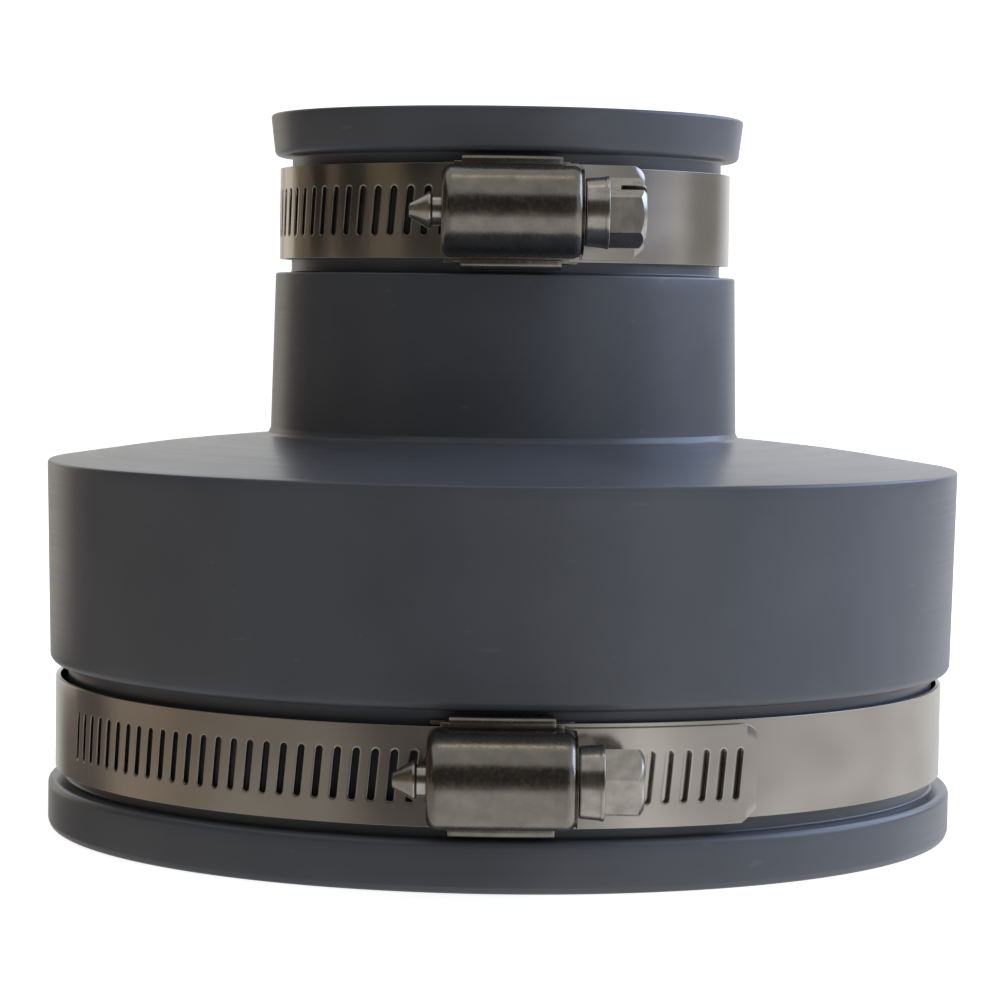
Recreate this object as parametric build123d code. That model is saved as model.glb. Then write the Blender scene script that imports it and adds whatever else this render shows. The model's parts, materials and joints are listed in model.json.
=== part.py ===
from build123d import *
import math
import os

# Reducing coupling: a moulded elastomeric sleeve that joins a large pipe (below)
# to a small pipe (above), with a worm-drive clamp in a groove at each end.
# Millimetres, +Z up, origin at the centre of the large mouth on the sleeve's axis.
# Each clamp is a slotted strip with overlapping ends, a saddle under both layers,
# a housing crimped into the saddle, and a worm screw that engages the slots.

# ------------------------------------------------------------------ sleeve sizes
LARGE_BORE_R = 57.5         # socket for a pipe of about 114 mm
SMALL_BORE_R = 27.0         # socket for a pipe of about 53 mm
LARGE_WALL = 3.7            # wall under the large clamp
SMALL_WALL = 3.3            # wall under the small clamp
LARGE_LIP_H = 6.7           # rim below the large groove
BARREL_H = 28.2             # full-size body above the large groove
SHOULDER_RISE = 3.9         # slope of the shoulder, from the barrel in to the neck
SHOULDER_CROWN = 0.45       # bulge of the shoulder above a straight slope
SHOULDER_ROUND = 150.0      # arc that eases the bulge
NECK_H = 22.7               # neck between the shoulder and the small groove
SMALL_LIP_H = 5.9           # rim above the small groove
LARGE_LIP_PROUD = 2.7       # how far each surface stands out from its groove's floor
BARREL_FOOT_PROUD = 2.55
BARREL_TOP_PROUD = 3.1
NECK_FOOT_PROUD = 2.7
NECK_TOP_PROUD = 2.2
SMALL_LIP_FOOT_PROUD = 2.4
SMALL_LIP_TOP_PROUD = 3.1
GROOVE_SIDE_GAP = 0.55      # groove wall to the saddle's fold
SHOULDER_WALL = 6.0         # thickness of the shoulder, measured along the axis
STOP_LEDGE = 2.5            # pipe stop between the two sockets
STOP_H = 5.0
SEAL_GROOVES = 3            # shallow rings in each socket, with sealing lands between them
SEAL_GROOVE_W = 2.4
SEAL_GROOVE_PITCH = 4.6
SEAL_GROOVE_DEPTH = 0.6
LEAD_IN = 1.0               # bevel at each mouth
MOULD_ROUND = 1.0           # rounding of the rims
BARREL_FOOT_ROUND = 1.3
EDGE_ROUND = 0.4            # rounding of the sharper moulded edges

# ------------------------------------------------------------------- clamp sizes
STRIP_W = 12.7
STRIP_T = 0.65
LAYER_GAP = 0.10            # between the two overlapping layers of the strip
SLOT_PITCH = 2.5            # also the lead of the worm
SLOT_W = 0.94
SLOT_LEN = 6.6
TAIL_CORNER = 2.2           # trimmed corners of the strip's free end
TAIL_LAND = 2.95            # plain strip beyond the last slot
HEAD_REACH = 6.2            # end of the inner layer, past the middle of the housing

SADDLE_T = 0.45             # plate under the strip
SADDLE_FLOOR_GAP = 0.10     # plate to the groove's floor
SADDLE_STRIP_GAP = 0.10     # plate to the strip
SADDLE_LEN = 18.0           # plate, round the sleeve
LUG_LEN = 13.3              # folded lugs, round the sleeve
LUG_T = 0.6
LUG_TUNNEL_GAP = 0.15       # tip of a folded lug to the housing's tunnel
STRIP_EDGE_GAP = 0.65       # strip edge to the inside of a lug
FOLD_ROUND = 0.7            # bend over a foot
ROOT_ROUND = 0.4            # bend up from the plate
INNER_ROUND = 0.1           # inside of both bends

HOUSING_LEN = 18.6
HOUSING_T = 1.0
HOUSING_INNER_ROUND = 0.5   # pressed rounding inside the tunnel's ends
FOOT_T = 0.8
FOOT_STAND = 0.6            # least that a foot stands out from the tunnel
FOOT_GAP = 0.10             # foot to the strip's upper layer
FOOT_LUG_GAP = 0.20         # foot edge to the inside of a lug

WORM_R = 4.7                # crest
THREAD_DEPTH = 1.1
WORM_TUNNEL_GAP = 0.4       # crest to the inside of the tunnel
WORM_SLOT_GAP = 0.29        # each side of the tooth's crest to the side of its slot
WORM_FLANK = 0.27           # how much wider each side of the tooth is at its foot
WORM_DEPTH_LEFT = 0.10      # crest to the far face of the slotted layer
WORM_END_GAP = 0.25         # worm to each end wall of the housing
TIP_NECK_R = 2.0
TIP_NECK_LEN = 1.4          # neck outside the housing
TIP_LEN = 2.9
TIP_R = 0.9
TIP_BASE_R = 2.65
HEAD_NECK_R = 3.25
COLLAR_GAP = 0.25           # collar to the housing
COLLAR_LEN = 3.2
COLLAR_STEP = 0.2           # how far the collar's small end lies inside the worm's crest
COLLAR_FLARE = 0.3          # how much larger its rim is, at the hexagon
SCREW_ROUND = 0.3           # rounding of the collar's and the tip's edges
HEX_AF = 8.0
HEX_LEN = 4.9
HEX_BEVEL = 0.5
HEX_STRIP_GAP = 0.30        # corners of the hexagon to the strip under them
DRIVER_SLOT_W = 1.06
DRIVER_SLOT_DEPTH = 3.2
NECK_CLEARANCE = 0.10       # screw neck in its notch
SPARE = 0.3                 # how far a cut, or a face to be cut, runs past its limit
TOOTH_SINK = 0.1            # how far the tooth's foot lies inside the worm's core

# ----------------------------------------------------------------- derived sizes
HOUSING_R = WORM_R + WORM_TUNNEL_GAP + HOUSING_T
HOUSING_ROUND = HOUSING_INNER_ROUND + HOUSING_T
WORM_ROOT_R = WORM_R - THREAD_DEPTH
WORM_CREST_HALF = SLOT_W / 2 - WORM_SLOT_GAP
WORM_FOOT_HALF = WORM_CREST_HALF + WORM_FLANK
COLLAR_R = WORM_R - COLLAR_STEP
HEX_CORNER_R = HEX_AF / math.sqrt(3)

# The lugs stand clear of the strip's edges, or of the housing's feet where those are wider.
LUG_INNER_Z = max(STRIP_W / 2 + STRIP_EDGE_GAP, HOUSING_R + FOOT_STAND + FOOT_LUG_GAP)
LUG_OUTER_Z = LUG_INNER_Z + LUG_T
GROOVE_W = 2 * (LUG_OUTER_Z + GROOVE_SIDE_GAP)
Z_LARGE_GROOVE = LARGE_LIP_H
Z_BARREL = Z_LARGE_GROOVE + GROOVE_W
Z_SHOULDER = Z_BARREL + BARREL_H
Z_NECK = Z_SHOULDER + SHOULDER_RISE
Z_SMALL_GROOVE = Z_NECK + NECK_H
Z_SMALL_LIP = Z_SMALL_GROOVE + GROOVE_W
Z_TOP = Z_SMALL_LIP + SMALL_LIP_H
LARGE_FLOOR_R = LARGE_BORE_R + LARGE_WALL
SMALL_FLOOR_R = SMALL_BORE_R + SMALL_WALL
LEAD_ANGLE = math.degrees(math.atan(SLOT_PITCH / (2 * math.pi * (WORM_R - STRIP_T))))


def export(shape, name):
    """Write one sub-part under its node's name."""
    shape.label = name
    export_step(shape, f"parts/{name}.step")


def outline(points):
    """Closed outline from (radius, height, corner rounding) points."""
    face = make_face(Polyline([(r, z) for r, z, _ in points], close=True)).face()
    for r, z, rounding in points:
        if rounding:
            corner = face.vertices().sort_by_distance((r, z, 0))[0]
            face = face.fillet_2d(rounding, [corner])
    return face


def turned(points, arc=360.0):
    """Solid of revolution of an outline about Z, centred on -Y when it is an arc."""
    solid = revolve(Plane.XZ * outline(points), Axis.Z, arc)
    return solid if arc == 360.0 else Rot(0, 0, -90 - arc / 2) * solid


def seal_grooves(bore_r, z_mid):
    """Points, upwards, of the shallow rings in a socket's wall."""
    points = []
    for i in range(SEAL_GROOVES):
        z = z_mid + (i - (SEAL_GROOVES - 1) / 2) * SEAL_GROOVE_PITCH - SEAL_GROOVE_W / 2
        deep = bore_r + SEAL_GROOVE_DEPTH
        points += [(bore_r, z, 0), (deep, z + SEAL_GROOVE_DEPTH, 0)]
        points += [(deep, z + SEAL_GROOVE_W - SEAL_GROOVE_DEPTH, 0), (bore_r, z + SEAL_GROOVE_W, 0)]
    return points


def sleeve():
    """The moulded sleeve: bores inside, rims, grooves, barrel, shoulder and neck outside."""
    large_lip_r = LARGE_FLOOR_R + LARGE_LIP_PROUD
    neck_r = SMALL_FLOOR_R + NECK_FOOT_PROUD
    slope = SHOULDER_RISE / (LARGE_FLOOR_R + BARREL_TOP_PROUD - neck_r)
    z_ledge = Z_SHOULDER + slope * (LARGE_FLOOR_R + BARREL_TOP_PROUD - LARGE_BORE_R) - SHOULDER_WALL
    stop_r = SMALL_BORE_R - STOP_LEDGE
    z_stop = z_ledge + slope * (LARGE_BORE_R - stop_r)
    crown_r = (LARGE_FLOOR_R + BARREL_TOP_PROUD + neck_r) / 2
    z_crown = (Z_SHOULDER + Z_NECK) / 2 + SHOULDER_CROWN
    outside = [
        (large_lip_r, 0, MOULD_ROUND),
        (large_lip_r, Z_LARGE_GROOVE, MOULD_ROUND),
        (LARGE_FLOOR_R, Z_LARGE_GROOVE, EDGE_ROUND),
        (LARGE_FLOOR_R, Z_BARREL, EDGE_ROUND),
        (LARGE_FLOOR_R + BARREL_FOOT_PROUD, Z_BARREL, BARREL_FOOT_ROUND),
        (LARGE_FLOOR_R + BARREL_TOP_PROUD, Z_SHOULDER, EDGE_ROUND),
        (crown_r, z_crown, SHOULDER_ROUND),
        (neck_r, Z_NECK, EDGE_ROUND),
        (SMALL_FLOOR_R + NECK_TOP_PROUD, Z_SMALL_GROOVE, EDGE_ROUND),
        (SMALL_FLOOR_R, Z_SMALL_GROOVE, EDGE_ROUND),
        (SMALL_FLOOR_R, Z_SMALL_LIP, EDGE_ROUND),
        (SMALL_FLOOR_R + SMALL_LIP_FOOT_PROUD, Z_SMALL_LIP, MOULD_ROUND),
        (SMALL_FLOOR_R + SMALL_LIP_TOP_PROUD, Z_TOP, MOULD_ROUND),
    ]
    small_socket = seal_grooves(SMALL_BORE_R, Z_SMALL_GROOVE + GROOVE_W / 2)
    large_socket = seal_grooves(LARGE_BORE_R, Z_LARGE_GROOVE + GROOVE_W / 2)
    inside = [
        (SMALL_BORE_R + LEAD_IN, Z_TOP, 0),
        (SMALL_BORE_R, Z_TOP - LEAD_IN, 0),
        *reversed(small_socket),
        (SMALL_BORE_R, z_stop + STOP_H, EDGE_ROUND),
        (stop_r, z_stop + STOP_H, EDGE_ROUND),
        (stop_r, z_stop, EDGE_ROUND),
        (LARGE_BORE_R, z_ledge, EDGE_ROUND),
        *reversed(large_socket),
        (LARGE_BORE_R, LEAD_IN, 0),
        (LARGE_BORE_R + LEAD_IN, 0, 0),
    ]
    print("sockets:", LARGE_BORE_R, "deep", round(z_ledge, 2),
          "and", SMALL_BORE_R, "from", round(z_stop + STOP_H, 2), "to", round(Z_TOP, 2))
    return turned(outside + inside)


class Stack:
    """Radii of one clamp, outwards from its groove's floor."""

    def __init__(self, floor_r):
        self.plate_in = floor_r + SADDLE_FLOOR_GAP
        self.plate_out = self.plate_in + SADDLE_T
        self.head_in = self.plate_out + SADDLE_STRIP_GAP
        self.head_mid = self.head_in + STRIP_T / 2
        self.tail_mid = self.head_mid + STRIP_T + LAYER_GAP
        self.tail_in = self.tail_mid - STRIP_T / 2
        self.tail_out = self.tail_mid + STRIP_T / 2
        self.foot_in = self.tail_out + FOOT_GAP
        self.foot_out = self.foot_in + FOOT_T
        self.axis = self.tail_in + WORM_DEPTH_LEFT + WORM_R


def strip_edges(stack, offset, tail_angle, head_angle):
    """Three tangent arcs of the strip, offset from its mid line, head end first."""
    shift = (stack.tail_mid - stack.head_mid) / 2
    mean = (stack.tail_mid + stack.head_mid) / 2
    return [
        CenterArc((0, 0), stack.head_mid + offset, -90 - head_angle, 180 + head_angle),
        CenterArc((0, -shift), mean + offset, 90, 180),
        CenterArc((0, 0), stack.tail_mid + offset, 270, tail_angle),
    ]


def band(stack, first_slot, last_slot, phase):
    """The strip: head layer from the front to the back through +X, then round by -X to
    the front again and on as the slotted tail layer above the head layer."""
    head_angle = math.degrees(HEAD_REACH / stack.head_mid)
    tail_len = (last_slot + phase) * SLOT_PITCH + TAIL_LAND
    tail_angle = math.degrees(tail_len / stack.tail_mid)
    outer = strip_edges(stack, STRIP_T / 2, tail_angle, head_angle)
    inner = strip_edges(stack, -STRIP_T / 2, tail_angle, head_angle)
    ends = [Line(outer[0] @ 0, inner[0] @ 0), Line(outer[2] @ 1, inner[2] @ 1)]
    flat = make_face(outer + inner + ends)
    strip = extrude(flat, STRIP_W / 2, both=True)
    tail = strip.edges().filter_by(lambda e: abs(e.length - STRIP_T) < 0.01)
    tail = tail.sort_by_distance(outer[2] @ 1)[:3]
    tail = tail.filter_by(lambda e: abs(e.center().Z) > STRIP_W / 4)
    strip = fillet(tail, TAIL_CORNER)
    shift = (stack.tail_mid - stack.head_mid) / 2
    step = SLOT_PITCH / stack.tail_mid
    slots = []
    for i in range(first_slot, last_slot + 1):
        angle = (i + phase) * step
        mid = stack.tail_mid if angle > 0 else stack.tail_mid - shift * (1 - math.cos(angle))
        depth = STRIP_T + LAYER_GAP
        out = Vector(math.sin(angle), -math.cos(angle), 0)
        along = Vector(math.cos(angle), math.sin(angle), 0)
        plane = Plane(out * (mid - depth / 2), x_dir=along, z_dir=out)
        slot = SlotOverall(SLOT_LEN, SLOT_W, rotation=90 - LEAD_ANGLE)
        slots.append(extrude(plane * slot, depth + STRIP_T))
    return strip - slots


def saddle(stack):
    """Plate under both layers, with a lug each side folded over the housing's foot."""
    tongue_z = LUG_INNER_Z - FOOT_LUG_GAP
    plate = turned(
        [
            (stack.plate_in, -tongue_z, 0),
            (stack.plate_out, -tongue_z, 0),
            (stack.plate_out, tongue_z, 0),
            (stack.plate_in, tongue_z, 0),
        ],
        math.degrees(SADDLE_LEN / stack.plate_in),
    )
    lug_out = stack.foot_out + LUG_T
    lug_tip_z = HOUSING_R + LUG_TUNNEL_GAP
    half = [
        (stack.plate_in, LUG_OUTER_Z, ROOT_ROUND),
        (lug_out, LUG_OUTER_Z, FOLD_ROUND),
        (lug_out, lug_tip_z, 0),
        (stack.foot_out, lug_tip_z, 0),
        (stack.foot_out, LUG_INNER_Z, INNER_ROUND),
        (stack.plate_out, LUG_INNER_Z, INNER_ROUND),
    ]
    other = [(r, -z, rounding) for r, z, rounding in reversed(half)]
    lugs = turned(half + other, math.degrees(LUG_LEN / stack.foot_out))
    return plate + lugs


def tunnel(radius, depth, length, rounding):
    """Bar with a half-round top along X: its axis is the screw's, its flat side inward."""
    section = Plane.YZ * (Circle(radius) + Pos(depth / 2, 0) * Rectangle(depth, 2 * radius))
    bar = extrude(section, length / 2, both=True)
    ends = bar.edges().filter_by(lambda e: abs(e.center().X) > length / 2 - SPARE / 2)
    outer_ends = ends.filter_by(lambda e: e.center().Y < depth - SPARE / 2)
    return fillet(outer_ends, rounding)


def housing(stack):
    """Pressed tunnel over the worm, end walls notched for the screw's necks, side feet.
    Its legs are trimmed to the circle that lies a foot's gap above the strip."""
    depth = stack.axis - math.sqrt(stack.foot_in ** 2 - (HOUSING_LEN / 2) ** 2) + SPARE
    shell = tunnel(HOUSING_R, depth, HOUSING_LEN, HOUSING_ROUND)
    inner_len = HOUSING_LEN - 2 * HOUSING_T
    shell -= tunnel(HOUSING_R - HOUSING_T, depth + SPARE, inner_len, HOUSING_INNER_ROUND)
    for side, neck_r in ((-1, TIP_NECK_R), (1, HEAD_NECK_R)):
        notch_r = neck_r + NECK_CLEARANCE
        section = Plane.YZ * (Circle(notch_r) + Pos(depth, 0) * Rectangle(2 * depth, 2 * notch_r))
        notch = extrude(section, HOUSING_T, both=True)
        shell -= Pos(side * (HOUSING_LEN - HOUSING_T) / 2, 0, 0) * notch
    shell = Pos(0, -stack.axis, 0) * shell
    foot_z = LUG_INNER_Z - FOOT_LUG_GAP
    foot_inner_z = HOUSING_R - HOUSING_T
    foot_arc = math.degrees((HOUSING_LEN - 2 * HOUSING_ROUND) / stack.foot_out)
    foot = turned(
        [
            (stack.foot_in, foot_inner_z, 0),
            (stack.foot_out, foot_inner_z, 0),
            (stack.foot_out, foot_z, 0),
            (stack.foot_in, foot_z, 0),
        ],
        foot_arc,
    )
    body = shell + foot + mirror(foot, Plane.XY)
    return body - Cylinder(stack.foot_in, 2 * GROOVE_W)


def tooth_ridge(worm_half):
    """The worm's right-handed tooth along Z, its ends tapered off at 45 degrees."""
    turns = math.ceil(worm_half / SLOT_PITCH) + 1
    path = Helix(SLOT_PITCH, 2 * turns * SLOT_PITCH, WORM_ROOT_R, (0, 0, -turns * SLOT_PITCH))
    section = make_face(Polyline(
        (-TOOTH_SINK, -WORM_FOOT_HALF), (THREAD_DEPTH, -WORM_CREST_HALF),
        (THREAD_DEPTH, WORM_CREST_HALF), (-TOOTH_SINK, WORM_FOOT_HALF), close=True))
    start = Plane(path @ 0, x_dir=(1, 0, 0), z_dir=path % 0)
    ridge = sweep(start * section, path, is_frenet=True)
    inside = WORM_ROOT_R - 2 * TOOTH_SINK
    root = WORM_ROOT_R + TOOTH_SINK
    crest = WORM_R + TOOTH_SINK
    limits = turned([
        (inside, -worm_half, 0),
        (root, -worm_half, 0),
        (crest, -worm_half + THREAD_DEPTH, 0),
        (crest, worm_half - THREAD_DEPTH, 0),
        (root, worm_half, 0),
        (inside, worm_half, 0),
    ])
    return ridge & limits


def hexagon(base_z, tilt, slot_turn):
    """Hexagon along Z above the collar, its outer end bevelled and slotted for a driver."""
    end_z = base_z + HEX_LEN
    flat = -90 - tilt
    outside = RegularPolygon(HEX_AF / 2, 6, major_radius=False, rotation=flat - 30)
    body = Pos(0, 0, base_z) * extrude(outside, HEX_LEN)
    body &= turned([
        (0, base_z, 0),
        (HEX_CORNER_R, base_z, 0),
        (HEX_CORNER_R, end_z - HEX_BEVEL, 0),
        (HEX_CORNER_R - 2 * HEX_BEVEL, end_z, 0),
        (0, end_z, 0),
    ])
    slot = Box(2 * HEX_AF, DRIVER_SLOT_W, 2 * DRIVER_SLOT_DEPTH)
    return body - Pos(0, 0, end_z) * Rot(0, 0, flat - slot_turn) * slot


def screw(stack, phase, hex_tilt, slot_turn):
    """Worm screw, built along Z and laid along X: tip, neck, worm, neck, collar, hexagon.
    The worm's tooth meets the slots at the same phase of their pitch. The collar is as long
    as it needs to be for the hexagon to stand where the strip has curved away under it."""
    half = HOUSING_LEN / 2
    worm_half = half - HOUSING_T - WORM_END_GAP
    cone_z = -half - TIP_NECK_LEN
    collar_z = half + COLLAR_GAP
    clear_r = stack.axis - HEX_CORNER_R - HEX_STRIP_GAP
    clear_z = math.sqrt(max(0, stack.tail_out ** 2 - clear_r ** 2))
    hex_z = max(collar_z + COLLAR_LEN, clear_z)
    core = turned([
        (0, cone_z - TIP_LEN, 0),
        (TIP_R, cone_z - TIP_LEN, 0),
        (TIP_BASE_R, cone_z, SCREW_ROUND),
        (TIP_NECK_R, cone_z, 0),
        (TIP_NECK_R, -worm_half, 0),
        (WORM_ROOT_R, -worm_half, 0),
        (WORM_ROOT_R, worm_half, 0),
        (HEAD_NECK_R, worm_half, 0),
        (HEAD_NECK_R, collar_z, 0),
        (COLLAR_R, collar_z, SCREW_ROUND),
        (COLLAR_R + COLLAR_FLARE, hex_z, SCREW_ROUND),
        (0, hex_z, 0),
    ])
    worm = core + Rot(0, 0, 90 - 360 * phase) * tooth_ridge(worm_half)
    head = hexagon(hex_z, hex_tilt, slot_turn)
    return Pos(0, -stack.axis, 0) * Rot(0, 90, 0) * (worm + head)


def clamp(prefix, floor_r, z_mid, turn, first_slot, last_slot, phase, hex_tilt, slot_turn):
    """The four pieces of one clamp, turned about Z and raised to their groove. Slots are
    counted in pitches from the middle of the housing; phase is a share of a pitch."""
    stack = Stack(floor_r)
    place = Pos(0, 0, z_mid) * Rot(0, 0, turn)
    export(place * band(stack, first_slot, last_slot, phase), prefix + "_clamp_band")
    export(place * saddle(stack), prefix + "_clamp_saddle")
    export(place * housing(stack), prefix + "_clamp_housing")
    export(place * screw(stack, phase, hex_tilt, slot_turn), prefix + "_clamp_screw")
    ratio = SLOT_PITCH / (2 * math.pi * stack.tail_mid)
    print(prefix, "screw axis radius", round(stack.axis, 3), "height", round(z_mid, 3),
          "turned", turn, "band turn per screw turn", round(ratio, 6))


os.makedirs("parts", exist_ok=True)
export(sleeve(), "sleeve")
clamp("large", LARGE_FLOOR_R, Z_LARGE_GROOVE + GROOVE_W / 2, turn=0.35,
      first_slot=-29, last_slot=12, phase=0.5, hex_tilt=-19, slot_turn=-60)
clamp("small", SMALL_FLOOR_R, Z_SMALL_GROOVE + GROOVE_W / 2, turn=1.25,
      first_slot=-32, last_slot=6, phase=0.4, hex_tilt=-5, slot_turn=60)
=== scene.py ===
"""Looks of a reducing coupling: a moulded elastomeric sleeve and its two worm-drive clamps.

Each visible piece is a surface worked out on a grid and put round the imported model, whose joints
say where each clamp and each screw lies. Lengths are kept in metres; the property groups give
their defaults in millimetres.
"""

import json
import math

import bmesh
import bpy
import numpy as np
from bpy.props import FloatProperty, IntProperty, PointerProperty, StringProperty
from mathutils import Matrix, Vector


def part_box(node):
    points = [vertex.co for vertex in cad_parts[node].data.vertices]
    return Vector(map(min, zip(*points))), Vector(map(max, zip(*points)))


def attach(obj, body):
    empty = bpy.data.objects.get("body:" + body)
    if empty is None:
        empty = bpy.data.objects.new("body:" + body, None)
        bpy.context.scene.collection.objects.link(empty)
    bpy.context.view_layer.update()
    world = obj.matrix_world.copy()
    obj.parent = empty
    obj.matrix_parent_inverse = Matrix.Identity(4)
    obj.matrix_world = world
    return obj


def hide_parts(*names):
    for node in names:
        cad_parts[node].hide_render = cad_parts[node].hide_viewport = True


bl_info = {
    "name": "Reducing Coupling",
    "version": (1, 0, 0),
    "blender": (4, 5, 0),
    "location": "View3D > Sidebar > Coupling",
    "description": "Builds a flexible reducing coupling with its two worm-drive clamps",
    "category": "Object",
}

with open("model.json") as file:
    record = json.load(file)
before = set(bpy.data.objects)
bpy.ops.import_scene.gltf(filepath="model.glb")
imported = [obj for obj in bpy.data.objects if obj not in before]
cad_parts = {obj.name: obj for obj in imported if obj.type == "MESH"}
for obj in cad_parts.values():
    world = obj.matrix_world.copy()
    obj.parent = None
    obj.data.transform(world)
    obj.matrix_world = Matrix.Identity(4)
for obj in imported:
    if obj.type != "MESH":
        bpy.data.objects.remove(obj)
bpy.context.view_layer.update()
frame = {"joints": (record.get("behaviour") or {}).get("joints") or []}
JOINTS = {joint["name"]: joint for joint in frame["joints"]}
MM = 0.001
CLAMPS = ("large", "small")


# ---------------------------------------------------------------- placing from the frame


class Place:
    """Where one clamp lies: its height, its turn about the sleeve's axis, and its radii."""

    def __init__(self, name, sizes):
        x, y, self.height = JOINTS[name + "_screw_turn"]["pos_m"]
        self.axis_r = math.hypot(x, y)
        self.turn = math.atan2(x, -y)
        self.tail_in = self.axis_r - sizes.worm_radius - sizes.worm_depth_left
        self.tail_r = self.tail_in + sizes.strip_thickness / 2
        self.head_r = self.tail_r - sizes.strip_thickness - sizes.layer_gap
        self.foot_in = self.tail_r + sizes.strip_thickness / 2 + sizes.foot_gap
        self.foot_out = self.foot_in + sizes.foot_thickness
        self.plate_out = self.head_r - sizes.strip_thickness / 2 - sizes.saddle_gap
        self.plate_in = self.plate_out - sizes.saddle_thickness

    def to_row(self, points):
        """Turns and lifts points of a clamp whose housing faces -Y into their own place."""
        cos, sin = math.cos(self.turn), math.sin(self.turn)
        x, y, z = points[:, 0], points[:, 1], points[:, 2]
        return np.column_stack((x * cos - y * sin, x * sin + y * cos, z + self.height))


# ------------------------------------------------------------------------------ meshes


def new_piece(name, points, faces, uv=None):
    """A mesh object at the origin from point rows and four-index faces, shaded smooth."""
    mesh = bpy.data.meshes.new(name)
    mesh.from_pydata(points.tolist(), [], faces.tolist())
    mesh.validate()
    if uv is not None:
        layer = mesh.uv_layers.new(name="UVMap")
        corner = np.zeros(len(mesh.loops), np.int32)
        mesh.loops.foreach_get("vertex_index", corner)
        layer.uv.foreach_set("vector", uv[corner].astype(np.float32).ravel())
    mesh.polygons.foreach_set("use_smooth", np.ones(len(mesh.polygons), bool))
    mesh.update()
    piece = bpy.data.objects.new(name, mesh)
    bpy.context.scene.collection.objects.link(piece)
    return piece


def grid_faces(rows, columns, close_rows=False, close_columns=False, first=0):
    """Four-index faces of a grid of points numbered row by row, closed either way if asked."""
    i = np.arange(rows if close_rows else rows - 1)
    j = np.arange(columns if close_columns else columns - 1)
    a, b = np.meshgrid(i, j, indexing="ij")
    down, right = (a + 1) % rows, (b + 1) % columns
    corners = (a * columns + b, a * columns + right, down * columns + right, down * columns + b)
    return first + np.stack(corners, axis=-1).reshape(-1, 4)


def join_parts(parts):
    """One point array and one face array from several (points, faces) pairs."""
    counts = np.cumsum([0] + [len(points) for points, _ in parts])
    points = np.vstack([points for points, _ in parts])
    faces = np.vstack([faces + start for (_, faces), start in zip(parts, counts)])
    return points, faces


def rounded(corners, closed=True, step=0.7 * MM, turn=math.radians(9)):
    """Points of an outline whose corners (a, b, rounding) are replaced by arcs tangent to both
    sides: an arc's centre is rounding / sin(half the corner's angle) along the bisector. Straight
    stretches are divided so that no run is longer than step."""
    p = np.array([corner[:2] for corner in corners], float)
    runs = []
    count = len(corners)
    for k in range(count):
        here, radius = p[k], corners[k][2]
        if radius == 0 or (not closed and k in (0, count - 1)):
            runs.append(here[None])
            continue
        back, on = p[k - 1] - here, p[(k + 1) % count] - here
        back, on = back / np.linalg.norm(back), on / np.linalg.norm(on)
        half = math.acos(np.clip(back @ on, -1, 1)) / 2
        centre = here + (back + on) / np.linalg.norm(back + on) * radius / math.sin(half)
        start, end = (here + v * radius / math.tan(half) - centre for v in (back, on))
        sweep = math.atan2(start[0] * end[1] - start[1] * end[0], start @ end)
        angles = np.linspace(0, sweep, max(3, round(abs(sweep) / turn) + 1))
        cos, sin = np.cos(angles), np.sin(angles)
        arc = np.column_stack((cos * start[0] - sin * start[1], sin * start[0] + cos * start[1]))
        runs.append(centre + arc)
    path = np.vstack(runs)
    following = np.roll(path, -1, axis=0) if closed else path[1:]
    spans = np.linalg.norm(following - path[:len(following)], axis=1)
    pieces = np.maximum(1, np.ceil(spans / step).astype(int))
    owner = np.repeat(np.arange(len(spans)), pieces)
    share = (np.arange(len(owner)) - np.repeat(np.cumsum(pieces) - pieces, pieces)) / pieces[owner]
    dense = path[owner] + (following - path[:len(following)])[owner] * share[:, None]
    return dense if closed else np.vstack((dense, path[-1:]))


def lathe(profile, segments, axis="Z"):
    """Surface of revolution: each profile point (radius, height) is carried round a full circle.
    Along X the circle starts at +Y and turns towards +Z."""
    angle = np.linspace(0, 2 * np.pi, segments, endpoint=False)
    radius, height = profile[:, :1], profile[:, 1:]
    cos, sin, along = radius * np.cos(angle), radius * np.sin(angle), height + 0 * angle
    order = (cos, sin, along) if axis == "Z" else (along, cos, sin)
    return np.stack(order, axis=-1).reshape(-1, 3)


def sector(profile, half_angle, segments):
    """A closed outline (radius, height) carried about Z through an arc centred on -Y. Its ends
    are left open."""
    count = len(profile)
    angle = np.linspace(-half_angle, half_angle, segments + 1)
    radius, height = profile[:, 0], profile[:, 1]
    rows = np.stack((np.sin(angle)[:, None] * radius, -np.cos(angle)[:, None] * radius,
                     height + 0 * angle[:, None]), axis=-1).reshape(-1, 3)
    return rows, grid_faces(segments + 1, count, close_columns=True)


def cap(piece):
    """Fills the open ends of a swept outline with flat faces, and turns all faces outward."""
    mesh = bmesh.new()
    mesh.from_mesh(piece.data)
    bmesh.ops.remove_doubles(mesh, verts=mesh.verts, dist=1e-7)
    bmesh.ops.dissolve_degenerate(mesh, edges=mesh.edges, dist=1e-7)
    rims = [edge for edge in mesh.edges if edge.is_boundary]
    if rims:
        bmesh.ops.holes_fill(mesh, edges=rims, sides=0)
    bmesh.ops.recalc_face_normals(mesh, faces=mesh.faces)
    mesh.to_mesh(piece.data)
    mesh.free()
    piece.data.polygons.foreach_set("use_smooth", np.ones(len(piece.data.polygons), bool))


def soften(piece, width, segments=2, angle=35):
    """Rounds the edges of a piece and keeps its broad faces flat in shading."""
    bevel = piece.modifiers.new("edge_rounding", "BEVEL")
    bevel.width = width
    bevel.segments = segments
    bevel.limit_method = "ANGLE"
    bevel.angle_limit = math.radians(angle)
    bevel.use_clamp_overlap = True
    bevel.miter_outer = "MITER_ARC"
    weighted = piece.modifiers.new("face_shading", "WEIGHTED_NORMAL")
    weighted.keep_sharp = True
    weighted.weight = 50


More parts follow.
